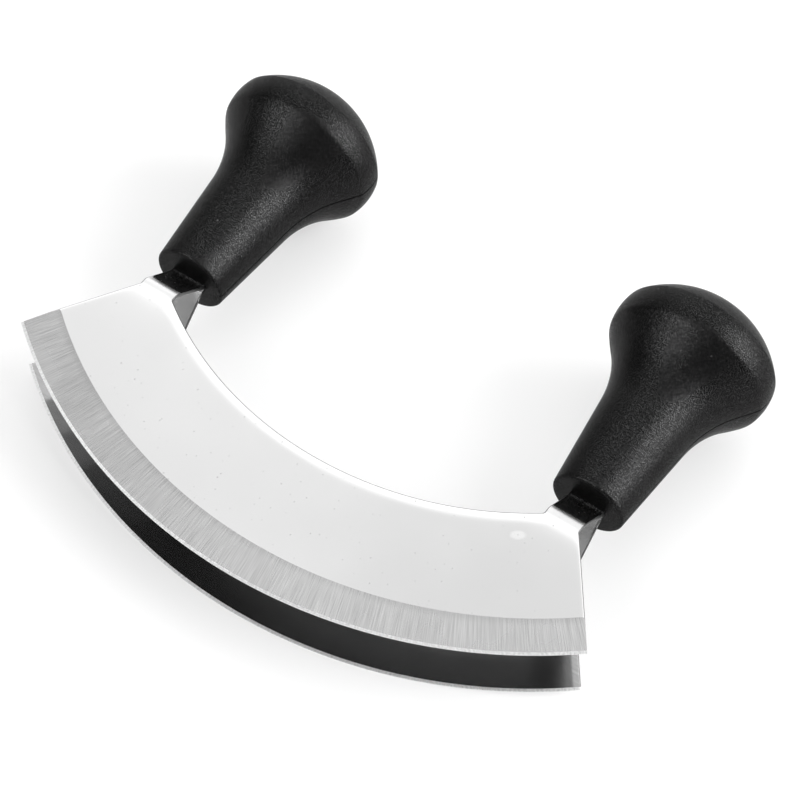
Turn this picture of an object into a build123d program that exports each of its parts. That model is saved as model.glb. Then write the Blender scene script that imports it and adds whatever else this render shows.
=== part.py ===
from build123d import *
import math
import os

# A two-bladed rocking chopper with two knob handles, lying on its side on a worktop.
# Lengths are in millimetres and angles in degrees.
# The tool is laid out in its own plane, midway between the blades: x runs along the chord,
# y from the cutting edges to the knobs, and z across the blades, towards the front one.
# That plane is tilted a little, so that one cutting edge and both knobs touch the worktop.

# Blades
half_chord = 84.0
edge_radius = 133.6
blade_depth = 38.2
sheet = 1.1
blade_gap = 19.2
bevel_width = 9.9
bevel_shoulder = 0.45
cutting_bevel_width = 0.75
cutting_edge_depth = 0.2
cutting_edge_land = 0.1
throat_radius = 1.2

# Tabs folded from the blades, and the tangs that they end in
tab_inset = 23.3
tab_width = 9.9
tab_rise = 1.1
fold_angle = 42.0
fold_radius = 2.0
tang_length = 25.0
tang_corner_radius = 2.0

# Outside of the handles
neck_radius = 10.15
neck_taper = 5.3
flare_radius = 31.5
knob_radius = 22.9
under_rim_radius = 10.7
upper_rim_radius = 9.7
rim_height = 51.8
crown_height = 16.0
end_edge_radius = 0.8
tang_exposure = 0.4

# Inside of the handles
wall = 2.6
end_wall = 4.0
rib = 1.8
rib_places = [16.0, 28.0, 39.0, 51.8]
boss_radius = 3.6
lip_height = 0.8
seam_depth = 0.35
seam_width = 0.3

# Pins through the tangs
pin_radius = 1.5
pin_length = 14.0
pin_chamfer = 0.3
pin_places = [9.8, 21.5]

# Clearances
tang_clearance = 0.15
pin_clearance = 0.1
lip_clearance = 0.1
overrun = 2.0

# Outline of a blade, worked out from the sizes above
edge_centre_y = math.sqrt(edge_radius**2 - half_chord**2)
throat_curve_radius = edge_radius - blade_depth
tab_centre = half_chord - tab_inset
tab_inner = tab_centre - tab_width / 2
tab_outer = tab_centre + tab_width / 2
shoulder_y = edge_centre_y - math.sqrt(throat_curve_radius**2 - tab_inner**2)
fold_y = shoulder_y + tab_rise
inner_face_z = blade_gap / 2

# Run of the fold: from the blade's plane inwards to the middle, then straight up as the tang
fold_sine = math.sin(math.radians(fold_angle))
fold_cosine = math.cos(math.radians(fold_angle))
fold_drop = inner_face_z - sheet - 2 * fold_radius
fold_run = (2 * fold_radius + sheet + fold_drop * fold_cosine) / fold_sine
tang_y = fold_y + fold_run
end_face_y = tang_y - tang_exposure
tang_end = tang_y + tang_length

# Arcs of the handle's outline: r from the axis and s from the end face
taper_sine = math.sin(math.radians(neck_taper))
taper_cosine = math.cos(math.radians(neck_taper))
under_rim_centre = knob_radius - under_rim_radius
upper_rim_centre = knob_radius - upper_rim_radius
flare_offset_r = neck_radius + flare_radius * taper_cosine - under_rim_centre
flare_offset_s = -flare_radius * taper_sine - rim_height
flare_along = flare_offset_r * taper_sine + flare_offset_s * taper_cosine
flare_square = flare_offset_r**2 + flare_offset_s**2 - (flare_radius + under_rim_radius) ** 2
flare_shift = -flare_along - math.sqrt(flare_along**2 - flare_square)
flare_r = neck_radius + flare_radius * taper_cosine + flare_shift * taper_sine
flare_s = -flare_radius * taper_sine + flare_shift * taper_cosine
flare_end_angle = math.degrees(math.atan2(rim_height - flare_s, under_rim_centre - flare_r))
crown_square = upper_rim_radius**2 - upper_rim_centre**2 - crown_height**2
crown_radius = crown_square / (2 * (upper_rim_radius - crown_height))
crown_s = rim_height + crown_height - crown_radius
crown_join_angle = math.degrees(math.atan2(rim_height - crown_s, upper_rim_centre))

# Tilt of the tool on the worktop: the rear cutting edge and the rims of the knobs touch it
edge_low_y = edge_centre_y - edge_radius
edge_low_z = inner_face_z + cutting_edge_depth + cutting_edge_land / 2
rest_reach = end_face_y + rim_height - edge_low_y
rest_drop = under_rim_centre - edge_low_z
tilt = math.asin(under_rim_radius / math.hypot(rest_reach, rest_drop)) + math.atan2(rest_drop, rest_reach)
tilt_sine = math.sin(tilt)
tilt_cosine = math.cos(tilt)
lowest_y = edge_low_y * tilt_cosine - edge_low_z * tilt_sine
highest_y = (end_face_y + crown_s) * tilt_cosine + crown_radius
tool_y = -(lowest_y + highest_y) / 2
tool_z = edge_low_z * tilt_cosine - edge_low_y * tilt_sine

tool_plane = Plane(origin=(0, tool_y, tool_z), x_dir=(1, 0, 0), z_dir=(0, -tilt_sine, tilt_cosine))
across_y = tool_plane.y_dir
across_z = tool_plane.z_dir


def tool_point(x, y, z):
    """A place of the tool, in the part's own frame."""
    return tool_plane.from_local_coords((x, y, z))


def circle_point(centre, radius, angle):
    """A point on a circle, at an angle in degrees."""
    turn = math.radians(angle)
    return (centre[0] + radius * math.cos(turn), centre[1] + radius * math.sin(turn))


def bevel_ring(points):
    """A ring round the centre of the cutting edge, its section given in radius and depth."""
    section_plane = Plane(
        origin=tool_point(0, edge_centre_y, inner_face_z),
        x_dir=-across_y,
        z_dir=-tool_plane.x_dir,
    )
    with BuildPart() as ring:
        with BuildSketch(section_plane):
            with BuildLine():
                Polyline(*points, close=True)
            make_face()
        revolve(axis=Axis(section_plane.origin, across_z))
    return ring.part


def folded_tab(side):
    """A tab bent in from the blade to the middle and straight up again, ending as a pinned tang."""
    side_plane = Plane(
        origin=tool_point(side * tab_centre - tab_width / 2, 0, 0),
        x_dir=across_y,
        z_dir=tool_plane.x_dir,
    )
    first_bend = (fold_y, inner_face_z - fold_radius)
    second_bend = (tang_y, sheet + fold_radius)
    wide_radius = fold_radius + sheet
    with BuildPart() as tab:
        with BuildSketch(side_plane):
            with BuildLine():
                for radius, other_radius in ((fold_radius, wide_radius), (wide_radius, fold_radius)):
                    CenterArc(first_bend, radius, 90 - fold_angle, fold_angle)
                    CenterArc(second_bend, radius, 270 - fold_angle, fold_angle)
                    Line(
                        circle_point(first_bend, radius, 90 - fold_angle),
                        circle_point(second_bend, other_radius, 270 - fold_angle),
                    )
                Line((fold_y, inner_face_z), (fold_y, inner_face_z + sheet))
                Polyline((tang_y, 0), (tang_end, 0), (tang_end, sheet), (tang_y, sheet))
            make_face()
        extrude(amount=tab_width)
        tang_corners = tab.edges().filter_by(Axis(tool_plane.origin, across_z)).group_by(Axis.Y)[-1]
        fillet(tang_corners, tang_corner_radius)
        with BuildSketch(tool_plane):
            with Locations(*[(side * tab_centre, end_face_y + place) for place in pin_places]):
                Circle(pin_radius + pin_clearance)
        extrude(amount=sheet, mode=Mode.SUBTRACT)
    return tab.part


def handle_plane(side):
    """The plane of a handle's seam, with its origin in the middle of the end face."""
    origin = tool_point(side * tab_centre, end_face_y, 0)
    return Plane(origin=origin, x_dir=tool_plane.x_dir, z_dir=across_z)


def handle_section(inset, floor, edge_round=0):
    """Half of the handle's section, drawn inwards by an inset, from a floor up to the crown."""
    floor_r = neck_radius + (floor * taper_sine - inset) / taper_cosine
    flare_angle = 180 - neck_taper
    with BuildSketch() as section:
        with BuildLine():
            Polyline(
                (0, crown_s + crown_radius - inset),
                (0, floor),
                (floor_r, floor),
                circle_point((flare_r, flare_s), flare_radius + inset, flare_angle),
            )
            CenterArc((flare_r, flare_s), flare_radius + inset, flare_angle, flare_end_angle - flare_angle)
            CenterArc(
                (under_rim_centre, rim_height),
                under_rim_radius - inset,
                flare_end_angle - 180,
                180 - flare_end_angle,
            )
            CenterArc((upper_rim_centre, rim_height), upper_rim_radius - inset, 0, crown_join_angle)
            CenterArc((0, crown_s), crown_radius - inset, crown_join_angle, 90 - crown_join_angle)
        make_face()
        if edge_round > 0:
            fillet(section.vertices().sort_by_distance((floor_r, floor))[0], edge_round)
    return section.sketch


def turned_half(side, face, section):
    """A section of the handle turned through the half circle in front of (1) or behind (-1) the seam."""
    plane = handle_plane(side)
    with BuildPart() as half:
        with BuildSketch(plane):
            add(section)
        revolve(axis=Axis(plane.origin, -face * across_y), revolution_arc=180)
    return half.part


def seam_band(side, outer_section, inner_section, depth):
    """A band that follows the handle's outline at the seam, between two sections."""
    with BuildPart() as band:
        with BuildSketch(handle_plane(side)):
            for section, mode in ((outer_section, Mode.ADD), (inner_section, Mode.SUBTRACT)):
                add(section, mode=mode)
                add(mirror(section, about=Plane.YZ, mode=Mode.PRIVATE), mode=mode)
        extrude(amount=depth)
    return band.part


def stiffeners(side, face):
    """Cross ribs, a lengthwise rib and the pin bosses, as solid blocks that the hollow leaves."""
    reach = knob_radius + overrun
    handle_top = crown_s + crown_radius
    long_rib_start = rib_places[1]
    with BuildPart() as blocks:
        with BuildSketch(handle_plane(side)):
            with Locations(*[(0, place) for place in rib_places]):
                Rectangle(2 * reach, rib)
            with Locations((0, (long_rib_start + handle_top) / 2)):
                Rectangle(rib, handle_top - long_rib_start)
            with Locations(*[(0, place) for place in pin_places]):
                Circle(boss_radius)
        extrude(amount=face * reach)
    return blocks.part


def handle_shell(side, face):
    """One moulded half of a handle: hollow, ribbed, slotted for the tang, with its seam's step."""
    plane = handle_plane(side)
    hollow = turned_half(side, face, handle_section(wall, end_wall))
    blocks = stiffeners(side, face)
    slot_length = tang_end + tang_clearance - end_face_y
    with BuildPart() as hollow_space:
        add(hollow)
        add(blocks, mode=Mode.SUBTRACT)
    outer_half = turned_half(side, face, handle_section(0, 0, end_edge_radius))
    groove = seam_band(
        side,
        handle_section(-overrun, -overrun),
        handle_section(seam_depth, seam_depth),
        face * seam_width / 2,
    )
    spread = lip_clearance if face > 0 else 0
    lip = seam_band(
        side,
        handle_section(wall / 2 - spread, end_wall - spread),
        handle_section(wall + spread, end_wall - overrun),
        lip_height + spread,
    )
    with BuildPart() as shell:
        add(outer_half)
        add(hollow_space.part, mode=Mode.SUBTRACT)
        add(groove, mode=Mode.SUBTRACT)
        add(lip, mode=Mode.SUBTRACT if face > 0 else Mode.ADD)
        with BuildSketch(plane):
            with Locations((0, (slot_length - overrun) / 2)):
                Rectangle(tab_width + 2 * tang_clearance, slot_length + overrun)
        extrude(amount=face * (sheet + tang_clearance), mode=Mode.SUBTRACT)
        with BuildSketch(plane):
            with Locations(*[(0, place) for place in pin_places]):
                Circle(pin_radius + pin_clearance)
        extrude(amount=face * (pin_length / 2 + pin_clearance), mode=Mode.SUBTRACT)
    return shell.part


os.makedirs("parts", exist_ok=True)

# Front blade: crescent, bevels, tabs and tangs in one piece of sheet
half_edge_angle = math.degrees(math.asin(half_chord / edge_radius))
half_throat_angle = math.degrees(math.asin(tab_inner / throat_curve_radius))
cutting_bevel_start = edge_radius - cutting_bevel_width
land_top = cutting_edge_depth + cutting_edge_land / 2
land_bottom = cutting_edge_depth - cutting_edge_land / 2
outer_bevels = bevel_ring([
    (edge_radius - bevel_width, sheet),
    (cutting_bevel_start, bevel_shoulder),
    (edge_radius, land_top),
    (edge_radius + overrun, land_top),
    (edge_radius + overrun, sheet + overrun),
    (edge_radius - bevel_width, sheet + overrun),
])
inner_bevel = bevel_ring([
    (cutting_bevel_start, 0),
    (edge_radius, land_bottom),
    (edge_radius + overrun, land_bottom),
    (edge_radius + overrun, -overrun),
    (cutting_bevel_start, -overrun),
])
left_tab = folded_tab(-1)
right_tab = folded_tab(1)
with BuildPart() as front_blade:
    with BuildSketch(tool_plane.offset(inner_face_z)) as crescent:
        with BuildLine():
            CenterArc((0, edge_centre_y), edge_radius, 270 - half_edge_angle, 2 * half_edge_angle)
            CenterArc((0, edge_centre_y), throat_curve_radius, 270 - half_throat_angle, 2 * half_throat_angle)
            for side in (-1, 1):
                Polyline(
                    (side * half_chord, 0),
                    (side * tab_outer, shoulder_y),
                    (side * tab_outer, fold_y),
                    (side * tab_inner, fold_y),
                    (side * tab_inner, shoulder_y),
                )
        make_face()
        for side in (-1, 1):
            fillet(crescent.vertices().sort_by_distance((side * tab_inner, shoulder_y))[0], throat_radius)
    extrude(amount=sheet)
    add(left_tab)
    add(right_tab)
    add(outer_bevels, mode=Mode.SUBTRACT)
    add(inner_bevel, mode=Mode.SUBTRACT)
front_blade.part.label = "front_blade"
export_step(front_blade.part, "parts/front_blade.step")

# Rear blade: the front one's mirror image
with BuildPart() as rear_blade:
    mirror(front_blade.part, about=tool_plane)
rear_blade.part.label = "rear_blade"
export_step(rear_blade.part, "parts/rear_blade.step")

# Handles: each has a front and a rear shell, and two pins through the tangs
for side, side_name in ((-1, "left"), (1, "right")):
    for face, face_name in ((1, "front"), (-1, "rear")):
        with BuildPart() as shell:
            add(handle_shell(side, face))
        shell.part.label = f"{side_name}_handle_{face_name}_shell"
        export_step(shell.part, f"parts/{shell.part.label}.step")

    with BuildPart() as tang_pins:
        with BuildSketch(handle_plane(side).offset(-pin_length / 2)):
            with Locations(*[(0, place) for place in pin_places]):
                Circle(pin_radius)
        extrude(amount=pin_length)
        chamfer(tang_pins.edges().filter_by(GeomType.CIRCLE), pin_chamfer)
    tang_pins.part.label = f"{side_name}_tang_pins"
    export_step(tang_pins.part, f"parts/{tang_pins.part.label}.step")

print("tilt on the worktop", round(math.degrees(tilt), 2), "degrees")
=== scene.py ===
import math

import bmesh
import bpy
from mathutils import Matrix, Vector


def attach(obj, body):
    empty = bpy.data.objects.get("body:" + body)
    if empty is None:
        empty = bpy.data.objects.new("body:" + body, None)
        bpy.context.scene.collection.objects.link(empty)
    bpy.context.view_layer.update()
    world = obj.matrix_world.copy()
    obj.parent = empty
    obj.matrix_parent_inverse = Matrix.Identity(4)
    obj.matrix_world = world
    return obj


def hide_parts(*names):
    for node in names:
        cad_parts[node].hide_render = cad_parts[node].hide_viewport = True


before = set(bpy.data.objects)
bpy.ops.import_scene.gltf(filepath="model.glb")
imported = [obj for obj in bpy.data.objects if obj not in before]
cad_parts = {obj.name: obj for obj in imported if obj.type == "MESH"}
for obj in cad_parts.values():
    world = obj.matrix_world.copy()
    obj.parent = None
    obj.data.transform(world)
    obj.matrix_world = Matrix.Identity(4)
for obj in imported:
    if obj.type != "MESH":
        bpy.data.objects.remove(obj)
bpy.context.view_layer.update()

# Everything is in metres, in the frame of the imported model. The blades and handles are built
# in the tool's own plane, midway between the blades: x along the chord, y from the cutting
# edges to the knobs, z across the blades. place_in_frame tilts that plane onto the worktop.

# Blades
half_chord = 0.0840
edge_radius = 0.1336
blade_depth = 0.0382
sheet = 0.0011
blade_gap = 0.0192
bevel_width = 0.0099
bevel_drift = 0.0007
bevel_shoulder = 0.00045
cutting_bevel_width = 0.00075
cutting_edge_depth = 0.0002
cutting_edge_land = 0.0001
throat_radius = 0.0012
edge_break = 0.00024

# How the faces droop beside the concave edge and the ends, and the outer one beside the folds:
# depth, width and power
throat_droop = (0.00009, 0.0033, 2)
end_droop = (0.00002, 0.0016, 2)
fold_droop = (0.00014, 0.0080, 3)

# Tabs folded from the blades, and the tangs that they end in
tab_inset = 0.0233
tab_width = 0.0099
tab_rise = 0.0011
fold_turn = math.radians(42)
fold_radius = 0.0020
bend_reach = 0.0014
tang_length = 0.0250
tang_corner_radius = 0.0020

# Rows and columns of the blades' mesh, as counts, or as shares or distances from the top
throat_steps = 60
corner_steps = 6
tab_columns = [0.82, 0.64, 0.48, 0.36, 0.26, 0.18, 0.11, 0.055]
edge_break_shares = [1, 0.62, 0.3, 0.1, 0]
bevel_rows = 6
flat_rows = 9
rows_near_top = [0.0040, 0.0033, 0.0028, 0.0023, 0.0018, 0.0013, 0.0009, 0.0005]
fold_rows = 14
slant_rows = 6
second_fold_rows = 10
tang_rows = 6

# Handles
neck_radius = 0.01015
neck_taper = math.radians(5.3)
flare_radius = 0.0315
knob_radius = 0.0229
under_rim_radius = 0.0107
upper_rim_radius = 0.0097
rim_height = 0.0518
crown_height = 0.0160
end_edge_radius = 0.0008
end_edge_steps = 6
neck_rows = 12
tang_exposure = 0.0004
wall = 0.0026
end_wall = 0.0040
rib = 0.0018
rib_places = [0.0160, 0.0280, 0.0390, 0.0518]
boss_radius = 0.0036
seam_edge_radius = 0.0003
tang_clearance = 0.00015

# Turning of the handles: points round the half circle, and how much closer they lie at the seam
turn_points = 129
turn_crowding = 0.96

# Soft edges that the moulded knob shows below and above the band round its rim
band_radius = 0.0140
lower_edge_radius = 0.0038
lower_edge_turn = (math.radians(-33.5), math.radians(-13.5))
upper_edge_radius = 0.0015
upper_edge_start = math.radians(13.5)
crown_curve_radius = 0.0268
band_ease = 0.00001

# Pins through the tangs
pin_radius = 0.0015
pin_length = 0.0140
pin_clearance = 0.0001
pin_places = [0.0098, 0.0215]
bar_sides = 40

# Meshes: which edges stay crisp, which points are one, and which lengths count as the same
crease_angle = math.radians(30)
merge_distance = 1e-7
same_length = 1e-6

# Worked out from the sizes above
edge_centre_y = math.sqrt(edge_radius**2 - half_chord**2)
edge_centre = Vector((0, edge_centre_y))
throat_curve_radius = edge_radius - blade_depth
tab_centre = half_chord - tab_inset
tab_inner = tab_centre - tab_width / 2
tab_outer = tab_centre + tab_width / 2
tab_angle = math.asin(tab_inner / throat_curve_radius)
shoulder_y = edge_centre_y - math.sqrt(throat_curve_radius**2 - tab_inner**2)
fold_y = shoulder_y + tab_rise
inner_face_z = blade_gap / 2
fold_drop = inner_face_z - sheet - 2 * fold_radius
fold_run = (2 * fold_radius + sheet + fold_drop * math.cos(fold_turn)) / math.sin(fold_turn)
fold_straight = fold_run * math.cos(fold_turn) + fold_drop * math.sin(fold_turn)
fold_length = fold_turn * (fold_radius + sheet / 2)
tang_y = fold_y + fold_run
tang_top = fold_y + 2 * fold_length + fold_straight + tang_length
end_face_y = tang_y - tang_exposure

# Arcs of the handle's outline: r from the axis and s from the end face
under_rim_centre = knob_radius - under_rim_radius
upper_rim_centre = knob_radius - upper_rim_radius
flare_start = math.pi - neck_taper
flare_offset_r = neck_radius + flare_radius * math.cos(neck_taper) - under_rim_centre
flare_offset_s = -flare_radius * math.sin(neck_taper) - rim_height
flare_along = flare_offset_r * math.sin(neck_taper) + flare_offset_s * math.cos(neck_taper)
flare_square = flare_offset_r**2 + flare_offset_s**2 - (flare_radius + under_rim_radius) ** 2
flare_shift = -flare_along - math.sqrt(flare_along**2 - flare_square)
flare_r = neck_radius + flare_radius * math.cos(neck_taper) + flare_shift * math.sin(neck_taper)
flare_s = -flare_radius * math.sin(neck_taper) + flare_shift * math.cos(neck_taper)
flare_end = math.atan2(rim_height - flare_s, under_rim_centre - flare_r)
crown_square = upper_rim_radius**2 - upper_rim_centre**2 - crown_height**2
crown_radius = crown_square / (2 * (upper_rim_radius - crown_height))
crown_s = rim_height + crown_height - crown_radius
crown_join = math.atan2(rim_height - crown_s, upper_rim_centre)

# Tilt on the worktop: the rear cutting edge and the rims of the knobs touch it
edge_low_y = edge_centre_y - edge_radius
edge_low_z = inner_face_z + cutting_edge_depth + cutting_edge_land / 2
rest_reach = end_face_y + rim_height - edge_low_y
rest_drop = under_rim_centre - edge_low_z
tilt = math.asin(under_rim_radius / math.hypot(rest_reach, rest_drop)) + math.atan2(rest_drop, rest_reach)
lowest_y = edge_low_y * math.cos(tilt) - edge_low_z * math.sin(tilt)
highest_y = (end_face_y + crown_s) * math.cos(tilt) + crown_radius
tool_y = -(lowest_y + highest_y) / 2
tool_z = edge_low_z * math.cos(tilt) - edge_low_y * math.sin(tilt)
place_in_frame = Matrix.Translation((0, tool_y, tool_z)) @ Matrix.Rotation(tilt, 4, "X")

# The knob's outside as it shows: the band lies where the solid's rim touches the worktop
band_centre_r = upper_rim_centre - (band_radius - upper_rim_radius) / math.cos(tilt) - band_ease
band_centre = Vector((band_centre_r, rim_height))


def facing_way(angle):
    """The way that a point of the outline faces, from its angle above square to the axis."""
    return Vector((math.cos(angle), math.sin(angle)))


lower_edge_centre = band_centre + facing_way(lower_edge_turn[1]) * (band_radius - lower_edge_radius)
upper_edge_centre = band_centre + facing_way(upper_edge_start) * (band_radius - upper_edge_radius)
to_flare = Vector((flare_r, flare_s)) - lower_edge_centre
edge_to_flare = lower_edge_radius + flare_radius
slope_room = edge_to_flare - to_flare.dot(facing_way(lower_edge_turn[0]))
slope_radius = lower_edge_radius + (to_flare.length_squared - edge_to_flare**2) / (2 * slope_room)
slope_centre = lower_edge_centre - facing_way(lower_edge_turn[0]) * (slope_radius - lower_edge_radius)
slope_start = math.atan2(flare_s - slope_centre.y, flare_r - slope_centre.x)
crown_start = math.acos(upper_edge_centre.x / (crown_curve_radius - upper_edge_radius))
crown_drop = (crown_curve_radius - upper_edge_radius) * math.sin(crown_start)

# The plane that both handles are seamed along, and how far painted shade of the seam's gap darkens
# the plastic beside it, which fades out towards the necks' flat ends
seam_normal = Vector((0, -math.sin(tilt), math.cos(tilt)))
seam_offset = seam_normal.dot(Vector((0, tool_y, tool_z)))
handle_way = Vector((0, math.cos(tilt), math.sin(tilt)))
handle_foot = handle_way.dot(Vector((0, tool_y, tool_z))) + end_face_y
seam_shade = 0.00018
seam_shade_end = 1.6 * seam_shade

# Camera, as fitted to the photograph
camera_azimuth = math.radians(28.518)
camera_elevation = math.radians(52.822)
camera_roll = math.radians(6.178)
camera_distance = 0.67636
camera_target = Vector((0.0, -0.00287, 0.01681))
camera_lens_mm = 119.886
camera_sensor_mm = 36
camera_shift = (0.03272, 0.00076)

# Studio: levels, where two of them begin and end as cosines from the back, and panels as
# direction, inner and outer angle in degrees, and strength
studio_back = (-0.15, 0.985, 0.0)
studio_front_level = 0.27
studio_overhead_level = 1.27
studio_back_level = 1.9
studio_least_level = 0.1
studio_seen_level = 1.0
studio_overhead_range = (-0.3, 0.42)
studio_back_range = (0.378, 0.428)
studio_panels = [
    ((0.84, 0.30, 0.45), 20, 30, 5.2),
    ((0.66, -0.56, 0.50), 10, 38, -0.3),
    ((0.11, 0.78, 0.62), 6, 28, -1.0),
    ((0.15, 0.98, 0.05), 10, 26, 0.9),
    ((-0.43, -0.69, 0.59), 4, 24, 4.6),
    ((-0.95, 0.15, 0.28), 20, 44, -1.0),
    ((-0.19, 0.33, 0.924), 0, 7, -0.14),
    ((-0.46, 0.14, 0.875), 0, 9, -0.72),
    ((-0.12, 0.19, 0.974), 0, 8, -0.2),
    ((-0.29, 0.17, 0.94), 0, 7, 0.35),
    ((-0.62, -0.12, 0.78), 3, 12, 1.4),
    ((0.00, -0.22, 0.975), 0, 10, 1.4),
]
floor_reach = 3
floor_grey = 0.5
floor_roughness = 0.9
floor_glow = 0.49

# Looks: noise scales count features per metre, and nearly all of a noise lies in noise_range
noise_range = (0.3, 0.7)
bent_roughness = 0.32
spot_strength = 0.55
spot_roughness = 0.22
stain_place = (0.0744, 0.1017, 0.0255)
stain_half_sizes = (0.0026, 0.0013, 0.0100)
stain_raggedness = 0.3
scratch_slant = 0.06
fine_scratch_share = 0.75
# Painted shade along the upper side of the ground bevel: how far down it reaches and how dark it is
bevel_shade_width = 0.0022
bevel_shade_strength = 0.14
pebble_share = 0.6
dust_strength = 0.22
gloss_facing = 0.3
gloss_fall = 2.7
gloss_grazing = 0.02

# Which of the blades' materials a face has, and which face of the sheet a point lies on
POLISHED, GROUND, HONED_WITH_HIGHLIGHT, SATIN_AND_SHADED, SHEARED_AND_SHADED = range(5)
INNER, OUTER = range(2)


# Shader building


def new_material(name):
    """An empty material, its node tree, and a Principled shader joined to its output."""
    material = bpy.data.materials.new(name)
    material.use_nodes = True
    tree = material.node_tree
    tree.nodes.clear()
    output = tree.nodes.new("ShaderNodeOutputMaterial")
    shader = tree.nodes.new("ShaderNodeBsdfPrincipled")
    tree.links.new(shader.outputs["BSDF"], output.inputs["Surface"])
    return material, tree, shader


def add_node(tree, kind, inputs=None, **settings):
    """A node with its settings, its inputs given as values or as other nodes' outputs."""
    node = tree.nodes.new(kind)
    for name, value in settings.items():
        setattr(node, name, value)
    for key, value in (inputs or {}).items():
        if isinstance(value, bpy.types.NodeSocket):
            tree.links.new(value, node.inputs[key])
        else:
            node.inputs[key].default_value = value
    return node


def joined(kind, inputs, **settings):
    """A node in the tree that its linked inputs come from."""
    linked = next(value for value in inputs.values() if isinstance(value, bpy.types.NodeSocket))
    return add_node(linked.id_data, kind, inputs, **settings)


def math_node(operation, first, second=0.0):
    """The result of a sum on one or two values."""
    return joined("ShaderNodeMath", {0: first, 1: second}, operation=operation).outputs[0]


def times(first, second):
    """The product of two values."""
    return math_node("MULTIPLY", first, second)


def plus(first, second):
    """The sum of two values."""
    return math_node("ADD", first, second)


def minus(first, second):
    """The difference of two values."""
    return math_node("SUBTRACT", first, second)


def vector_math(operation, first, second=(0, 0, 0)):
    """The result of a sum on vectors, which is a vector or a number."""
    node = joined("ShaderNodeVectorMath", {0: first, 1: second}, operation=operation)
    return next(output for output in node.outputs if output.enabled)


def remap(value, from_low, from_high, to_low, to_high, smooth=False):
    """A value moved from one range to another, and held there."""
    inputs = {0: value, 1: from_low, 2: from_high, 3: to_low, 4: to_high}
    kind = "SMOOTHSTEP" if smooth else "LINEAR"
    return joined("ShaderNodeMapRange", inputs, interpolation_type=kind).outputs[0]


def noise(vector, scale, detail=2.0, roughness=0.5):
    """The value of a noise texture, with one scale or with one for each axis."""
    if isinstance(scale, tuple):
        vector, scale = vector_math("MULTIPLY", vector, scale), 1.0
    inputs = {"Vector": vector, "Scale": scale, "Detail": detail, "Roughness": roughness}
    return joined("ShaderNodeTexNoise", inputs).outputs["Fac"]


def varied(value, low, high):
    """A noise's value spread between two ends."""
    return remap(value, *noise_range, low, high)


def cells(vector, scale, **settings):
    """The outputs of a Voronoi texture with scattered cells."""
    inputs = {"Vector": vector, "Scale": scale, "Randomness": 1.0}
    return joined("ShaderNodeTexVoronoi", inputs, **settings).outputs


def grey(level):
    """An opaque grey."""
    return (level, level, level, 1.0)


def mix_colours(factor, first, second):
    """A colour between two others, by the colour sockets of a Mix node."""
    return joined("ShaderNodeMix", {0: factor, 6: first, 7: second}, data_type="RGBA").outputs[2]


def between(factor, low, high):
    """A grey between two others."""
    return mix_colours(factor, grey(low), grey(high))


def bump(height, strength, distance, normal=None):
    """A normal bent by a height."""
    inputs = {"Height": height, "Strength": strength, "Distance": distance}
    if normal is not None:
        inputs["Normal"] = normal
    return joined("ShaderNodeBump", inputs).outputs["Normal"]


def object_place(tree):
    """Where a point lies in the frame, where every object has its origin."""
    return add_node(tree, "ShaderNodeTexCoord").outputs["Object"]


def pattern_place(tree):
    """Where a point lies on the blade's pattern: along the cutting edge, and from its arc's centre."""
    pattern = add_node(tree, "ShaderNodeUVMap", uv_map="across_bevel").outputs["UV"]
    return pattern, *joined("ShaderNodeSeparateXYZ", {"Vector": pattern}).outputs[0:2]


def finish_surface(shader, tone, roughness, normal=None, metallic=1.0):
    """Joins a surface's colour, roughness and normal to its shader."""
    for name, value in (("Base Color", tone), ("Roughness", roughness), ("Normal", normal)):
        if value is not None:
            shader.id_data.links.new(value, shader.inputs[name])
    shader.inputs["Metallic"].default_value = metallic


# Materials


def water_spots(pattern, across):
    """How much of a dried water spot lies at a point, from none to one: they lie thicker on the tabs."""
    spots = cells(pattern, 430, voronoi_dimensions="2D")
    near_spot = remap(spots["Distance"], 0.05, 0.15, 1, 0, smooth=True)
    picked = joined("ShaderNodeSeparateColor", {"Color": spots["Color"]}).outputs[0]
    least = remap(across, throat_curve_radius - 0.0030, throat_curve_radius - 0.0015, 0.35, 0.78)
    strength = times(minus(picked, least), 5)
    spot = joined("ShaderNodeClamp", {"Value": times(near_spot, strength)}).outputs[0]
    return times(spot, remap(noise(pattern, 70), 0.38, 0.60, 0.3, 1))


def dried_stain(along, across, up, ragged):
    """How much of the pale stain near the right tab lies at a point, from none to one."""
    spot = joined("ShaderNodeCombineXYZ", {"X": along, "Y": across, "Z": up}).outputs[0]
    offset = vector_math("SUBTRACT", spot, stain_place)
    offset = vector_math("MULTIPLY", offset, [1 / size for size in stain_half_sizes])
    distance = plus(vector_math("LENGTH", offset), times(ragged, stain_raggedness))
    return remap(distance, 0.85, 1.3, 1, 0)


def polished_steel():
    """Mirror-polished stainless sheet with faint buffing waves, hairlines and dried water spots."""
    material, tree, shader = new_material("polished_steel")
    place = object_place(tree)
    pattern, along, across = pattern_place(tree)
    waves = noise(place, 38, detail=3)
    hairlines = noise(place, 900, detail=3, roughness=0.6)
    up = joined("ShaderNodeSeparateXYZ", {"Vector": place}).outputs["Z"]
    tone = between(waves, 0.63, 0.66)
    tone = mix_colours(dried_stain(along, across, up, hairlines), tone, grey(0.75))
    spot = water_spots(pattern, across)
    tone = mix_colours(times(spot, spot_strength), tone, grey(0.3))
    bent = add_node(tree, "ShaderNodeAttribute", attribute_name="bent").outputs["Fac"]
    roughness = plus(varied(waves, 0.07, 0.12), times(spot, spot_roughness))
    roughness = plus(roughness, times(bent, bent_roughness))
    normal = bump(waves, strength=0.05, distance=0.0004)
    normal = bump(hairlines, strength=0.02, distance=0.00002, normal=normal)
    finish_surface(shader, tone, roughness, normal)
    return material


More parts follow.
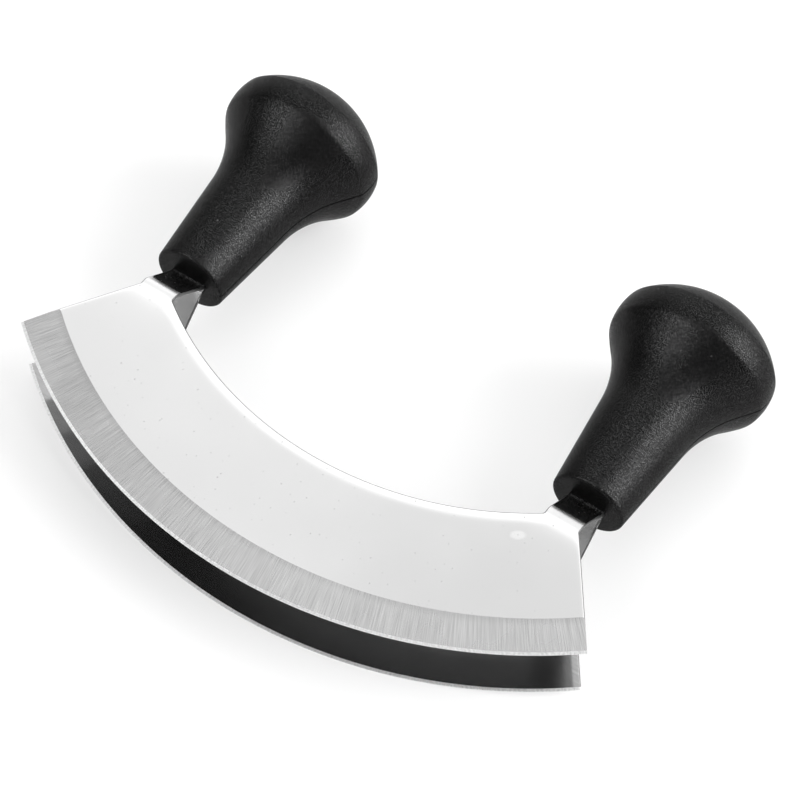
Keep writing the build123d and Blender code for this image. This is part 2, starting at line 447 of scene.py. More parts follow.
def satin_and_shaded_steel():
    """The inner faces: the same sheet left with the mill's duller skin and faint rolling streaks, toned
    darker still as painted shade between the blades.
    """
    material, tree, shader = new_material("satin_and_shaded_steel")
    place = object_place(tree)
    streaks = noise(place, (90, 1500, 1500), detail=3, roughness=0.6)
    # Darker grey: partly the duller skin, partly painted shade in the gap between the blades.
    tone = between(remap(streaks, 0.35, 0.65, 0, 1), 0.37, 0.43)
    normal = bump(streaks, strength=0.04, distance=0.00002)
    roughness = varied(noise(place, 70), 0.08, 0.11)
    finish_surface(shader, tone, roughness, normal, metallic=0.97)
    return material


def sheared_and_shaded_steel():
    """The cut edges of the sheet and the rounded bands beside them: dull and slightly torn where the press
    sheared them, their dark tone partly painted shade.
    """
    material, tree, shader = new_material("sheared_and_shaded_steel")
    torn = noise(object_place(tree), 1400, detail=3, roughness=0.6)
    # Dark tone: partly the dull sheared steel, partly painted shade for the dark line along the edges.
    tone = between(torn, 0.08, 0.16)
    normal = bump(torn, strength=0.4, distance=0.00004)
    finish_surface(shader, tone, varied(torn, 0.35, 0.5), normal)
    return material


def ground_steel():
    """The wide bevel: fine scratches straight across it, and painted shade darkening it along its upper
    side.
    """
    material, tree, shader = new_material("ground_steel")
    pattern, along, across = pattern_place(tree)
    slanted = joined("ShaderNodeMapping", {"Vector": pattern, "Rotation": (0, 0, scratch_slant)}).outputs[0]
    fine = noise(slanted, (4200, 110, 1), detail=1, roughness=0.6)
    broad = noise(slanted, (2300, 60, 1), detail=1, roughness=0.6)
    mixed = plus(times(fine, fine_scratch_share), times(broad, 1 - fine_scratch_share))
    tone = between(remap(mixed, 0.34, 0.66, 0, 1), 0.47, 0.64)
    # Painted shade: the bevel is toned darker just below its upper side, fading out a little way down.
    boundary = plus(times(along, bevel_drift / half_chord), edge_radius - bevel_width)
    below = minus(across, boundary)
    bevel_shade = remap(below, 0, bevel_shade_width, bevel_shade_strength, 0, smooth=True)
    tone = mix_colours(bevel_shade, tone, grey(0.1))
    roughness = varied(noise(pattern, 60), 0.22, 0.30)
    finish_surface(shader, tone, roughness, bump(mixed, strength=0.7, distance=0.00003))
    return material


def honed_steel_with_highlight():
    """The small cutting bevel, slightly torn by the stone; its bright tone is partly a painted highlight
    along the edge.
    """
    material, tree, shader = new_material("honed_steel_with_highlight")
    grain = noise(pattern_place(tree)[0], (1800, 900, 1), detail=3, roughness=0.7)
    # Painted highlight: the cutting bevel is toned brighter than the polished faces, as the light sliver
    # along the edge.
    tone = between(remap(grain, 0.35, 0.6, 0, 1), 0.72, 0.95)
    normal = bump(grain, strength=0.4, distance=0.00004)
    finish_surface(shader, tone, varied(grain, 0.3, 0.45), normal)
    return material


def pebbled_plastic():
    """Black moulded plastic: a fine pebbled skin that glints, specks of dust, and painted shade along its
    seam.
    """
    material, tree, shader = new_material("pebbled_plastic")
    place = object_place(tree)
    pebbles = cells(place, 3000, feature="SMOOTH_F1")["Distance"]
    grain = noise(place, 3700, roughness=0.6)
    skin = minus(grain, times(pebbles, pebble_share))
    near_dust = remap(cells(place, 230)["Distance"], 0.045, 0.075, 1, 0, smooth=True)
    dusty = times(near_dust, remap(noise(place, 120, detail=1), 0.54, 0.60, 0, 1))
    tone = between(remap(grain, 0.35, 0.7, 0, 1), 0.002, 0.009)
    tone = mix_colours(times(dusty, dust_strength), tone, grey(0.35))
    roughness = varied(noise(place, 55, detail=3), 0.22, 0.28)
    normal = bump(skin, strength=1.0, distance=0.00008)
    finish_surface(shader, tone, roughness, normal, metallic=0.0)

    # Gloss, strongest where the skin faces the eye and on the grain's highest points
    grazing = add_node(tree, "ShaderNodeLayerWeight", {"Blend": 0.5}).outputs["Facing"]
    gloss = times(math_node("POWER", minus(1.0, grazing), gloss_fall), gloss_facing)
    gloss = plus(gloss, times(grazing, gloss_grazing))
    glints = plus(remap(grain, 0.35, 0.55, 0.28, 0.88), remap(grain, 0.54, 0.7, 0, 2.5))

    # Painted shade of the seam's gap: gloss taken away beside the seam, up to the round edges of the necks'
    # ends
    off_seam = minus(vector_math("DOT_PRODUCT", place, seam_normal), seam_offset)
    unshaded = remap(math_node("ABSOLUTE", off_seam), seam_shade, seam_shade_end, 0, 1)
    up_handle = vector_math("DOT_PRODUCT", place, handle_way)
    at_foot = remap(up_handle, handle_foot, handle_foot + end_edge_radius, 1, 0)
    gloss = times(times(gloss, glints), math_node("MAXIMUM", unshaded, at_foot))
    tree.links.new(gloss, shader.inputs["Specular IOR Level"])
    return material


def drawn_steel():
    """Bright drawn wire, for the pins inside the handles."""
    material, tree, shader = new_material("drawn_steel")
    lines = noise(object_place(tree), 1500)
    finish_surface(shader, between(lines, 0.5, 0.62), varied(lines, 0.2, 0.34))
    return material


# Blades


def steps(start, end, count):
    """Evenly spaced values from start to end, both kept."""
    return [start + (end - start) * i / count for i in range(count + 1)]


def distance_to_segment(point, start, end):
    """How far a point lies from a straight edge."""
    along = end - start
    share = max(0.0, min(1.0, (point - start).dot(along) / along.length_squared))
    return (point - start - along * share).length


def distance_to_throat(point):
    """How far a point of the flat lies from the concave edge."""
    offset = point - edge_centre
    if abs(math.atan2(offset.x, -offset.y)) <= tab_angle:
        return abs(offset.length - throat_curve_radius)
    corner = Vector((math.copysign(tab_inner, point.x), shoulder_y))
    return (point - corner).length


def distance_to_end(point):
    """How far a point of the flat lies from the blade's nearer straight end."""
    side = math.copysign(1, point.x)
    return distance_to_segment(point, Vector((side * half_chord, 0)), Vector((side * tab_outer, shoulder_y)))


def droop(distance, depth, width, power):
    """How much lower a buffed face is at a distance from its edge."""
    return depth * max(0.0, 1 - distance / width) ** power


def buffed(point):
    """How much the buffing took off the face at a point."""
    return droop(distance_to_throat(point), *throat_droop) + droop(distance_to_end(point), *end_droop)


def bevel_width_at(x):
    """How wide the ground bevel is at a place along the blade: the grinder's hand wandered."""
    return bevel_width - bevel_drift * x / half_chord


def bevel_slope_at(x):
    """How steep the ground bevel is at a place along the blade."""
    return (sheet - bevel_shoulder) / (bevel_width_at(x) - cutting_bevel_width)


def throat_corner():
    """The small curve between the concave edge and the tab's inner side, as points of the pattern."""
    middle_radius = throat_curve_radius - throat_radius
    middle_x = tab_inner - throat_radius
    middle = Vector((middle_x, edge_centre_y - math.sqrt(middle_radius**2 - middle_x**2)))
    away = (middle - edge_centre).normalized()
    start = math.atan2(away.y, away.x)
    return [middle + throat_radius * facing_way(angle) for angle in steps(start, 0, corner_steps)]


def throat_points():
    """Points of the pattern's concave edge from its middle to the small corner, with their angles."""
    corner = throat_corner()[0]
    points = []
    for angle in steps(0, math.atan2(corner.x, edge_centre_y - corner.y), throat_steps):
        x = math.sin(angle) * throat_curve_radius
        y = edge_centre_y - math.cos(angle) * throat_curve_radius
        points.append((angle, Vector((x, y))))
    return points


def cut_outline():
    """Straight pieces of the cut outline of the pattern's right half, without the cutting edge."""
    inner = [point for _, point in throat_points()] + throat_corner()[1:] + [Vector((tab_inner, tang_y))]
    outer = [Vector((half_chord, 0)), Vector((tab_outer, shoulder_y)), Vector((tab_outer, tang_y))]
    return list(zip(inner, inner[1:])) + list(zip(outer, outer[1:]))


cut_lines = cut_outline()


def rounded_away(point):
    """How far the sheet's faces curve down at a point beside its cut outline."""
    mirrored = Vector((abs(point.x), point.y))
    nearest = min(distance_to_segment(mirrored, start, end) for start, end in cut_lines)
    gap = max(0.0, edge_break - nearest)
    return edge_break - math.sqrt(edge_break**2 - gap**2)


def fold_lowering(point):
    """How far the outer face has sunk towards a fold, where the sheet starts to bend."""
    side = math.copysign(1, point.x)
    past = point.y - fold_y
    if past <= 0:
        fold_start = Vector((side * tab_inner, fold_y))
        fold_end = Vector((side * tab_outer, fold_y))
        return droop(distance_to_segment(point, fold_start, fold_end), *fold_droop)
    depth, width, power = fold_droop
    slope = power * depth / width
    if past <= fold_length:
        return depth + slope * past
    return (depth + slope * fold_length) * max(0.0, 1 - (past - fold_length) / fold_straight)


def face_depths(x, along):
    """Depths of the inner and the outer face at a point of the flat pattern."""
    point = Vector((x, along))
    taken = buffed(point) + rounded_away(point)
    inner, outer = taken, sheet - taken - fold_lowering(point)
    if along >= shoulder_y:
        return inner, outer
    from_edge = edge_radius - (point - edge_centre).length
    if from_edge >= cutting_bevel_width:
        return inner, min(outer, bevel_shoulder + bevel_slope_at(x) * (from_edge - cutting_bevel_width))
    share = from_edge / cutting_bevel_width
    outer_land = cutting_edge_depth + cutting_edge_land / 2
    inner_land = cutting_edge_depth - cutting_edge_land / 2
    return max(inner, inner_land * (1 - share)), outer_land + (bevel_shoulder - outer_land) * share


def folded(x, along, depth):
    """A place in the sheet from its flat pattern: along runs up the blade and round the folds."""
    run = along - fold_y
    if run <= 0:
        return Vector((x, along, inner_face_z + depth))
    turn = min(run / fold_length, 1) * fold_turn
    radius = fold_radius + depth
    y = fold_y + radius * math.sin(turn)
    z = inner_face_z - fold_radius + radius * math.cos(turn)
    run -= fold_length
    if run <= 0:
        return Vector((x, y, z))
    straight = min(run, fold_straight)
    run -= fold_straight
    if run <= 0:
        return Vector((x, y + straight * math.cos(fold_turn), z - straight * math.sin(fold_turn)))
    turn = (1 - min(run / fold_length, 1)) * fold_turn
    radius = fold_radius + sheet - depth
    y = tang_y - radius * math.sin(turn)
    z = sheet + fold_radius - radius * math.cos(turn)
    return Vector((x, y + max(run - fold_length, 0), z))


def bent_share(along):
    """How much a fold has dulled the surface at a height of the pattern, from none to one."""
    middle = fold_y + fold_length / 2
    beyond = abs(along - middle) - fold_length / 2
    return max(0.0, min(1.0, 1 - beyond / bend_reach))


def blade_column(angle, top, side):
    """Points from the cutting edge to the top of one column of the crescent."""
    bottom = edge_centre + edge_radius * Vector((math.sin(angle), -math.cos(angle)))
    direction = (top - bottom).normalized()

    def at_radius(radius):
        """The column's point at a radius from the middle of the edge's arc."""
        along = -(bottom - edge_centre).dot(direction)
        inside = along**2 - (edge_radius**2 - radius**2)
        return bottom + direction * (along - math.sqrt(max(inside, 0)))

    width = bevel_width_at(side * at_radius(edge_radius - bevel_width).x)
    plain_start = at_radius(edge_radius - width)
    lowered = (buffed(plain_start) + rounded_away(plain_start)) / bevel_slope_at(side * plain_start.x)
    radii = steps(edge_radius - cutting_bevel_width, edge_radius - width + lowered, bevel_rows)
    points = [bottom] + [at_radius(radius) for radius in radii]
    start = points[-1]
    height = (top - start).length
    near_top = rows_near_top + [edge_break * share for share in edge_break_shares]
    shares = steps(0, 1 - near_top[0] / height, flat_rows)[1:] + [1 - d / height for d in near_top[1:]]
    return points + [start + (top - start) * share for share in shares]


def blade_pattern(side):
    """The crescent's columns from the middle to one end, left (-1) or right (1), and the tab's xs."""
    rim = [edge_break * share / tab_width for share in edge_break_shares]
    tab_shares = [1 - share for share in rim[::-1]] + tab_columns + rim
    tab_xs = [tab_outer - tab_width * share for share in tab_shares]
    end_angle = math.asin(half_chord / edge_radius)
    tops = throat_points()
    for share, x in zip(tab_shares, tab_xs):
        tops.append((end_angle - (end_angle - tab_angle) * share, Vector((x, shoulder_y))))
    return [blade_column(angle, top, side) for angle, top in tops], tab_xs


def tab_levels(corner_y):
    """How far up the pattern each row of the tab lies."""
    levels = [shoulder_y, corner_y, fold_y]
    parts = ((fold_length, fold_rows), (fold_straight, slant_rows), (fold_length, second_fold_rows),
             (tang_length - tang_corner_radius, tang_rows))
    for length, rows in parts:
        levels += steps(levels[-1], levels[-1] + length, rows)[1:]
    turns = steps(0, math.pi / 2, corner_steps)[1:]
    return levels + [tang_top - tang_corner_radius * (1 - math.sin(turn)) for turn in turns]


def tab_point(x, level):
    """A point of the tab's pattern, drawn in where the tang's corners are rounded."""
    over = max(level - (tang_top - tang_corner_radius), 0)
    half = tab_width / 2 - tang_corner_radius + math.sqrt(max(tang_corner_radius**2 - over**2, 0))
    return (tab_centre + (x - tab_centre) * half / (tab_width / 2), level)


def blade_mesh(front):
    """One blade with its tabs and tangs, as a closed sheet of its real thickness."""
    mesh = bmesh.new()
    uv = mesh.loops.layers.uv.new("across_bevel")
    bent = mesh.verts.layers.float.new("bent")
    made = {}
    pattern = {}

    def key(x, along, layer):
        """What a pattern point on the inner or the outer face is known by."""
        return (round(x, 8), round(along, 8), layer)

    def vertex(x, along, layer):
        """The vertex of a pattern point, made once."""
        if key(x, along, layer) not in made:
            point = mesh.verts.new(folded(x, along, face_depths(x, along)[layer]))
            point[bent] = bent_share(along)
            made[key(x, along, layer)] = point
            pattern[point] = (x, along)
        return made[key(x, along, layer)]

    def cell(points, material):
        """One face of the pattern, on both faces of the sheet."""
        middle = Vector((sum(p[0] for p in points), sum(p[1] for p in points))) / len(points)
        inner_material = material if material == HONED_WITH_HIGHLIGHT or middle.y > shoulder_y else SATIN_AND_SHADED
        # Faces on the rounded bands beside the cut outline take the dark edge steel, a painted dark line
        # along the edges.
        if material != HONED_WITH_HIGHLIGHT and rounded_away(middle) > 0:
            inner_material = SHEARED_AND_SHADED
            material = SHEARED_AND_SHADED if material == POLISHED else material
        mesh.faces.new([vertex(*p, OUTER) for p in points]).material_index = material
        mesh.faces.new([vertex(*p, INNER) for p in reversed(points)]).material_index = inner_material

    corner = throat_corner()
    tab_rows = tab_levels(corner[-1].y)
    for side in (-1, 1):
        columns, tab_xs = blade_pattern(side)

        def turned(points):
            """Pattern points on this side of the blade, in the order that faces outwards."""
            moved = [(side * p[0], p[1]) for p in points]
            return moved if side > 0 else moved[::-1]

        for left, right in zip(columns, columns[1:]):
            for row in range(len(left) - 1):
                material = HONED_WITH_HIGHLIGHT if row == 0 else GROUND if row <= bevel_rows else POLISHED
                cell(turned([left[row], right[row], right[row + 1], left[row + 1]]), material)
        for first, second in zip(corner, corner[1:]):
            cell(turned([Vector((tab_inner, shoulder_y)), second, first]), POLISHED)
        for low, high in zip(tab_rows, tab_rows[1:]):
            for first, second in zip(tab_xs, tab_xs[1:]):
                corners = ((first, low), (second, low), (second, high), (first, high))
                cell(turned([tab_point(x, level) for x, level in corners]), POLISHED)

    # The cut sides, from each open edge of the outer face down to the inner face
    for edge in [e for e in mesh.edges if len(e.link_faces) == 1]:
        if made.get(key(*pattern[edge.verts[0]], OUTER)) is not edge.verts[0]:
            continue
        loop = edge.link_loops[0]
        a, b = loop.vert, loop.link_loop_next.vert
        low_a, low_b = (made[key(*pattern[v], INNER)] for v in (a, b))
        on_edge = all(
            abs(math.hypot(x, edge_centre_y - y) - edge_radius) < merge_distance and y < shoulder_y
            for x, y in (pattern[a], pattern[b])
        )
        mesh.faces.new((b, a, low_a, low_b)).material_index = HONED_WITH_HIGHLIGHT if on_edge else SHEARED_AND_SHADED
    for face in mesh.faces:
        for loop in face.loops:
            x, along = pattern[loop.vert]
            angle = math.atan2(x, edge_centre_y - along)
            loop[uv].uv = (angle * edge_radius, math.hypot(x, edge_centre_y - along))
    if not front:
        mesh.transform(Matrix.Diagonal((1, 1, -1, 1)))
        bmesh.ops.reverse_faces(mesh, faces=mesh.faces[:])
    mesh.transform(place_in_frame)
    return mesh


def link_object(name, data):
    """An object with some data, linked to the scene."""
    thing = bpy.data.objects.new(name, data)
    bpy.context.scene.collection.objects.link(thing)
    return thing


def mesh_object(name, mesh, *materials):
    """An object from a mesh under construction."""
    data = bpy.data.meshes.new(name)
    mesh.to_mesh(data)
    mesh.free()
    for material in materials:
        data.materials.append(material)
    return link_object(name, data)


def cut_or_join(thing, other, operation):
    """Cuts another object from one, or joins it to it, as a modifier."""
    modifier = thing.modifiers.new(operation.lower(), "BOOLEAN")
    modifier.operation = operation
    modifier.solver = "MANIFOLD"
    modifier.object = other


def baked_piece(name, rough):
    """A plain mesh object of what the modifiers of a rough one give, which is then removed."""
    bpy.context.view_layer.update()
    graph = bpy.context.evaluated_depsgraph_get()
    data = bpy.data.meshes.new_from_object(rough.evaluated_get(graph))
    data.name = name
    bpy.data.objects.remove(rough)
    data.shade_smooth()
    data.set_sharp_from_angle(angle=crease_angle)
    return link_object(name, data)


def finished_blade(name, front, materials, holes):
    """A blade with its pin holes cut, smooth but crisp where two ground faces meet."""
    rough = mesh_object(name + "_rough", blade_mesh(front), *materials)
    cut_or_join(rough, holes, "DIFFERENCE")
    blade = baked_piece(name, rough)
    kinds = {}
    for face in blade.data.polygons:
        for pair in face.edge_keys:
            kinds.setdefault(pair, set()).add(face.material_index)
    for edge in blade.data.edges:
        if len(kinds[edge.key]) > 1 and SHEARED_AND_SHADED not in kinds[edge.key]:
            edge.use_edge_sharp = True
    return blade


# Handles


def arc_points(arcs):
    """Points along a chain of arcs and the way they face.

    An arc is its centre, radius, start, end, facing (1 away from its centre, or -1) and steps.
    """
    points = []
    for centre, radius, start, end, facing, count in arcs:
        for angle in steps(start, end, count)[1 if points else 0:]:
            way = facing_way(angle)
            points.append((Vector(centre) + way * radius, way * facing))
    return points


def outside_outline():
    """The handle's outside from the top of its neck up to the crown's top, with the knob's soft edges."""
    lower_start, lower_end = lower_edge_turn
    crown_centre = (0, upper_edge_centre.y - crown_drop)
    return arc_points([
        ((flare_r, flare_s), flare_radius, flare_start, slope_start + math.pi, -1, 40),
        (slope_centre, slope_radius, slope_start, lower_start, 1, 10),
        (lower_edge_centre, lower_edge_radius, lower_start, lower_end, 1, 10),
        (band_centre, band_radius, lower_end, upper_edge_start, 1, 22),
        (upper_edge_centre, upper_edge_radius, upper_edge_start, crown_start, 1, 10),
        (crown_centre, crown_curve_radius, crown_start, math.pi / 2, 1, 32),
    ])


def chamber_outline():
    """The chambers' outline, a wall's thickness inside the solid's plain arcs."""
    return arc_points([
        ((flare_r, flare_s), flare_radius + wall, flare_start, flare_end, -1, 40),
        ((under_rim_centre, rim_height), under_rim_radius - wall, flare_end - math.pi, 0, 1, 30),
        ((upper_rim_centre, rim_height), upper_rim_radius - wall, 0, crown_join, 1, 22),
        ((0, crown_s), crown_radius - wall, crown_join, math.pi / 2, 1, 34),
    ])


def outline_radius(points, s):
    """Radius of an outline where it passes a height, on its way up from the neck."""
    for (low, _), (high, _) in zip(points, points[1:]):
        if low.y <= s <= high.y:
            return low.x + (high.x - low.x) * (s - low.y) / (high.y - low.y)
    first = points[0][0]
    return first.x - (first.y - s) * math.tan(neck_taper)


def end_face_round():
    """The neck's end: a flat face without a seam, and a small round edge up to where the taper starts."""
    past_neck = end_edge_radius * math.sin(neck_taper) - end_edge_radius
    centre_r = neck_radius + past_neck / math.cos(neck_taper)
    still = Vector((0, 0))
    points = [(Vector((0, 0)), still), (Vector((centre_r / 2, 0)), still)]
    for share in steps(0, 1, end_edge_steps):
        way = facing_way((math.pi / 2 - neck_taper) * share - math.pi / 2)
        points.append((Vector((centre_r, end_edge_radius)) + way * end_edge_radius, way * share))
    return points


def shell_profile():
    """Half section of a shell with the chambers between its ribs, and the way its outer points face."""
    outside = outside_outline()
    profile = end_face_round()
    neck_top = outside[0][0]
    neck_start = profile[-1][0]
    for share in steps(0, 1, neck_rows)[1:-1]:
        profile.append((neck_start.lerp(neck_top, share), facing_way(-neck_taper)))
    profile += outside
    inside = chamber_outline()
    floors = [end_wall] + [place + rib / 2 for place in rib_places]
    ceilings = [place - rib / 2 for place in rib_places]
    top = inside[-1][0].y
    chambers = [Vector((0, top))]
    for floor, ceiling in reversed(list(zip(floors, ceilings + [top]))):
        if ceiling < top:
            chambers += [Vector((0, ceiling)), Vector((outline_radius(inside, ceiling), ceiling))]
        chambers += [p for p, _ in reversed(inside) if floor + same_length < p.y < ceiling - same_length]
        chambers += [Vector((outline_radius(inside, floor), floor)), Vector((0, floor))]
    return profile + [(point, Vector((0, 0))) for point in chambers]


def profile_object(name, profile):
    """A closed line of edges in the plane of radius and height, with the way each point faces."""
    data = bpy.data.meshes.new(name)
    count = len(profile)
    data.from_pydata([(p.x, p.y, 0) for p, _ in profile], [(i, (i + 1) % count) for i in range(count)], [])
    outward = data.attributes.new("outward", "FLOAT_VECTOR", "POINT")
    outward.data.foreach_set("vector", [value for _, way in profile for value in (way.x, way.y, 0)])
    return link_object(name, data)


def captured(geometry, kind, value):
    """Keeps a value on a geometry's points through later steps: the geometry, and the kept value."""
    tree = geometry.id_data
    node = tree.nodes.new("GeometryNodeCaptureAttribute")
    node.capture_items.new(kind, "Kept")
    tree.links.new(geometry, node.inputs[0])
    tree.links.new(value, node.inputs[1])
    return node.outputs[0:2]


def turned_half_tree():
    """Turns a section through half a circle, closes it, and rounds its two edges at the seam."""
    tree = bpy.data.node_groups.new("turned_half", "GeometryNodeTree")
    for name, kind in (("Geometry", "Geometry"), ("Steps", "Int"), ("Seam Edge Radius", "Float"),
                       ("Slot and Holes", "Object"), ("Bosses", "Object"), ("Plastic", "Material")):
        tree.interface.new_socket(name, in_out="INPUT", socket_type="NodeSocket" + kind)
    tree.interface.new_socket("Geometry", in_out="OUTPUT", socket_type="NodeSocketGeometry")
    given = tree.nodes.new("NodeGroupInput").outputs

    def step(kind, inputs=None, output=0, **settings):
        """An output of a node of this tree."""
        return add_node(tree, "GeometryNode" + kind, inputs, **settings).outputs[output]

    # Steps round the half circle lie closer together near the seam
    arc = step("CurveArc", {"Resolution": given["Steps"], "Sweep Angle": math.pi}, mode="RADIUS")
    share = math_node("DIVIDE", step("InputIndex"), minus(given["Steps"], 1.0))
    wave = math_node("SINE", times(share, 2 * math.pi))
    swing = times(wave, turn_crowding / (2 * math.pi))
    spine, turn = captured(arc, "FLOAT", times(minus(share, swing), math.pi))
    line = step("MeshToCurve", {"Mesh": given["Geometry"]})
    line, section = captured(line, "VECTOR", step("InputPosition"))
    swept = step("CurveToMesh", {"Curve": spine, "Profile Curve": line, "Fill Caps": True})

    # Each point goes to its radius, turn and height, drawn in beside the seam
    radius, height = joined("ShaderNodeSeparateXYZ", {"Vector": section}).outputs[0:2]
    outward = step("InputNamedAttribute", {"Name": "outward"}, data_type="FLOAT_VECTOR")
    facing = joined("ShaderNodeSeparateXYZ", {"Vector": outward}).outputs
    from_seam = math_node("ABSOLUTE", times(radius, math_node("SINE", turn)))
    edge = given["Seam Edge Radius"]
    gap = math_node("MAXIMUM", minus(edge, from_seam))
    squares = minus(times(edge, edge), times(gap, gap))
    inset = minus(math_node("SQRT", math_node("MAXIMUM", squares)), edge)
    radius = plus(radius, times(inset, facing[0]))
    height = plus(height, times(inset, facing[1]))
    across = times(radius, math_node("COSINE", turn))
    deep = times(radius, math_node("SINE", turn))
    turned = joined("ShaderNodeCombineXYZ", {"X": across, "Y": deep, "Z": height}).outputs[0]
    half = step("SetPosition", {"Geometry": swept, "Position": turned})
    half = step("MergeByDistance", {"Geometry": half, "Distance": merge_distance})
    half = step("RemoveAttribute", {"Geometry": half, "Name": "outward"})
    half = step("FlipFaces", {"Mesh": half})
    half = step("SetMaterial", {"Geometry": half, "Material": given["Plastic"]})

    # Bosses are added, and the slot and holes are cut
    bosses = step("ObjectInfo", {"Object": given["Bosses"]}, "Geometry")
    cuts = step("ObjectInfo", {"Object": given["Slot and Holes"]}, "Geometry")
    union = add_node(tree, "GeometryNodeMeshBoolean", operation="UNION", solver="MANIFOLD")
    tree.links.new(half, union.inputs["Mesh 2"])
    tree.links.new(bosses, union.inputs["Mesh 2"])
    both = {"Mesh 1": union.outputs[0], "Mesh 2": cuts}
    whole = step("MeshBoolean", both, operation="DIFFERENCE", solver="MANIFOLD")
    whole = step("RealizeInstances", {"Geometry": whole})
    whole = step("SetMaterial", {"Geometry": whole, "Material": given["Plastic"]})
    tree.links.new(whole, tree.nodes.new("NodeGroupOutput").inputs[0])
    return tree


def grow(thing, tree, values):
    """Puts a tree on an object, each input set by its socket's identifier."""
    modifier = thing.modifiers.new(tree.name, "NODES")
    modifier.node_group = tree
    for item in tree.interface.items_tree:
        if item.item_type == "SOCKET" and item.in_out == "INPUT" and item.name in values:
            modifier[item.identifier] = values[item.name]


def block(mesh, low, high):
    """A box in a mesh under construction, between two corners."""
    made = bmesh.ops.create_cube(mesh, size=1)
    middle = Matrix.Translation((Vector(low) + Vector(high)) / 2)
    extent = Matrix.Diagonal((*(Vector(high) - Vector(low)), 1))
    bmesh.ops.transform(mesh, matrix=middle @ extent, verts=made["verts"])


def rods(mesh, x, start, end, radius):
    """Round bars across the seam at the heights of the pins, in the handle's own axes."""
    turn = Matrix.Rotation(math.pi / 2, 4, "X")
    for place in pin_places:
        middle = Matrix.Translation((x, (start + end) / 2, place))
        bmesh.ops.create_cone(mesh, cap_ends=True, segments=bar_sides, radius1=radius, radius2=radius,
                              depth=end - start, matrix=middle @ turn)


def handle_bosses(material):
    """The pin bosses, from the seam to inside the wall, in the handle's own axes."""
    mesh = bmesh.new()
    rods(mesh, 0, 0, neck_radius - wall / 2, boss_radius)
    return mesh_object("bosses", mesh, material)


def handle_cuts(material):
    """The slot for one tang and the holes for the pins, in the handle's own axes."""
    mesh = bmesh.new()
    half = tab_width / 2 + tang_clearance
    top = tang_y - end_face_y + tang_length + tang_clearance
    block(mesh, (-half, -sheet, -end_wall), (half, sheet + tang_clearance, top))
    slot = mesh_object("slot", mesh, material)
    mesh = bmesh.new()
    rods(mesh, 0, -sheet, pin_length / 2 + pin_clearance, pin_radius + pin_clearance)
    holes = mesh_object("pin_holes", mesh, material)
    cut_or_join(slot, holes, "UNION")
    cuts = baked_piece("slot_and_holes", slot)
    bpy.data.objects.remove(holes)
    return cuts


def handle_axes(side):
    """From a handle's own axes, with z up from the end face and y towards the rear blade, to the tool's."""
    return Matrix.Translation((side * tab_centre, end_face_y, 0)) @ Matrix.Rotation(-math.pi / 2, 4, "X")


def tang_pin_holes(material):
    """Bars where the pins pass through the tangs, in the frame, to cut the tangs' holes."""
    mesh = bmesh.new()
    for side in (-1, 1):
        rods(mesh, side * tab_centre, -pin_length / 2, pin_length / 2, pin_radius + pin_clearance)
    bmesh.ops.transform(mesh, matrix=place_in_frame @ handle_axes(0), verts=mesh.verts[:])
    return mesh_object("tang_holes", mesh, material)


def handle_shell(name, template, side, face):
    """One half of a handle, from the template that was turned in its own axes."""
    data = template.data.copy()
    data.name = name
    turn = Matrix.Rotation(math.pi if face > 0 else 0, 4, "Z")
    data.transform(place_in_frame @ handle_axes(side) @ turn)
    piece = link_object(name, data)
    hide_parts(name)
    piece.name = name + "_turned"
    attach(piece, "root")


# Stage


def build_camera():
    """The camera where the photograph was taken from."""
    back = Vector((math.sin(camera_azimuth) * math.cos(camera_elevation),
                   -math.cos(camera_azimuth) * math.cos(camera_elevation),
                   math.sin(camera_elevation)))
    data = bpy.data.cameras.new("camera")
    data.lens = camera_lens_mm
    data.sensor_width = camera_sensor_mm
    data.shift_x, data.shift_y = camera_shift
    camera = link_object("camera", data)
    turn = (-back).to_track_quat("-Z", "Y").to_matrix().to_4x4() @ Matrix.Rotation(camera_roll, 4, "Z")
    camera.matrix_world = Matrix.Translation(camera_target + back * camera_distance) @ turn
    bpy.context.scene.camera = camera


def build_floor():
    """A pale floor that stays white but keeps the object's shadow."""
    material, tree, shader = new_material("floor_white")
    shader.inputs["Base Color"].default_value = grey(floor_grey)
    shader.inputs["Roughness"].default_value = floor_roughness
    shader.inputs["Specular IOR Level"].default_value = 0.0
    paths = add_node(tree, "ShaderNodeLightPath").outputs
    seen = math_node("MAXIMUM", paths["Is Camera Ray"], paths["Is Glossy Ray"])
    glow = joined("ShaderNodeEmission", {"Strength": times(seen, floor_glow)})
    both = joined("ShaderNodeAddShader", {0: shader.outputs[0], 1: glow.outputs[0]})
    output = next(n for n in tree.nodes if n.type == "OUTPUT_MATERIAL")
    tree.links.new(both.outputs[0], output.inputs["Surface"])
    mesh = bmesh.new()
    bmesh.ops.create_grid(mesh, x_segments=2, y_segments=2, size=floor_reach)
    floor = mesh_object("floor", mesh, material)


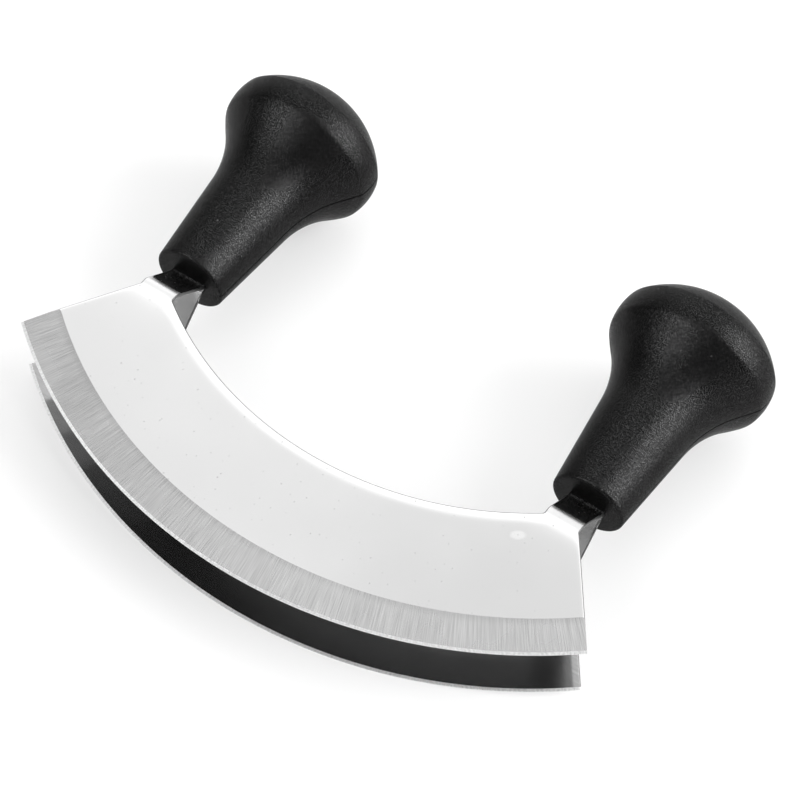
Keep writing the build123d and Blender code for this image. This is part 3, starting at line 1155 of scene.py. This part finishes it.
def build_world():
    """A studio that is brightest at the back and dim in front, with soft light panels and grey flags."""
    world = bpy.data.worlds.new("studio")
    bpy.context.scene.world = world
    world.use_nodes = True
    tree = world.node_tree
    tree.nodes.clear()
    way = add_node(tree, "ShaderNodeTexCoord").outputs["Generated"]

    def cosine(direction):
        """How closely the way that is looked in follows a direction."""
        return vector_math("DOT_PRODUCT", way, Vector(direction).normalized())

    backwards = cosine(studio_back)
    ends = (studio_front_level, studio_overhead_level)
    level = remap(backwards, *studio_overhead_range, *ends, smooth=True)
    rise = studio_back_level - studio_overhead_level
    level = plus(level, remap(backwards, *studio_back_range, 0, rise, smooth=True))
    for direction, near, far, strength in studio_panels:
        fade = (math.cos(math.radians(far)), math.cos(math.radians(near)))
        panel = remap(cosine(direction), *fade, 0, 1, smooth=True)
        level = plus(level, times(panel, strength))
    level = math_node("MAXIMUM", level, studio_least_level)
    seen = add_node(tree, "ShaderNodeLightPath").outputs["Is Camera Ray"]
    levels = {0: seen, 2: level, 3: studio_seen_level}
    strength = joined("ShaderNodeMix", levels, data_type="FLOAT").outputs[0]
    background = joined("ShaderNodeBackground", {"Color": grey(1.0), "Strength": strength})
    output = tree.nodes.new("ShaderNodeOutputWorld")
    tree.links.new(background.outputs[0], output.inputs["Surface"])


build_camera()
build_floor()
build_world()
bpy.context.scene.view_settings.view_transform = "Standard"

steel = polished_steel()
ground = ground_steel()
honed_with_highlight = honed_steel_with_highlight()
satin_and_shaded = satin_and_shaded_steel()
sheared_and_shaded = sheared_and_shaded_steel()
plastic = pebbled_plastic()
pin_steel = drawn_steel()

tang_holes = tang_pin_holes(steel)
for name, front in (("front_blade", True), ("rear_blade", False)):
    blade = finished_blade(name + "_sheet", front, (steel, ground, honed_with_highlight, satin_and_shaded, sheared_and_shaded), tang_holes)
    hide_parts(name)
    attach(blade, "root")
bpy.data.objects.remove(tang_holes)

bosses = handle_bosses(plastic)
cuts = handle_cuts(plastic)
outline = profile_object("shell_outline", shell_profile())
grow(outline, turned_half_tree(), {
    "Steps": turn_points,
    "Seam Edge Radius": seam_edge_radius,
    "Slot and Holes": cuts,
    "Bosses": bosses,
    "Plastic": plastic,
})
template = baked_piece("shell_template", outline)
for side, side_name in ((-1, "left"), (1, "right")):
    for face, face_name in ((1, "front"), (-1, "rear")):
        handle_shell(f"{side_name}_handle_{face_name}_shell", template, side, face)
for spare in (template, bosses, cuts):
    bpy.data.objects.remove(spare)

for node in ("left_tang_pins", "right_tang_pins"):
    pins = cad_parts[node].data
    pins.materials.clear()
    pins.materials.append(pin_steel)
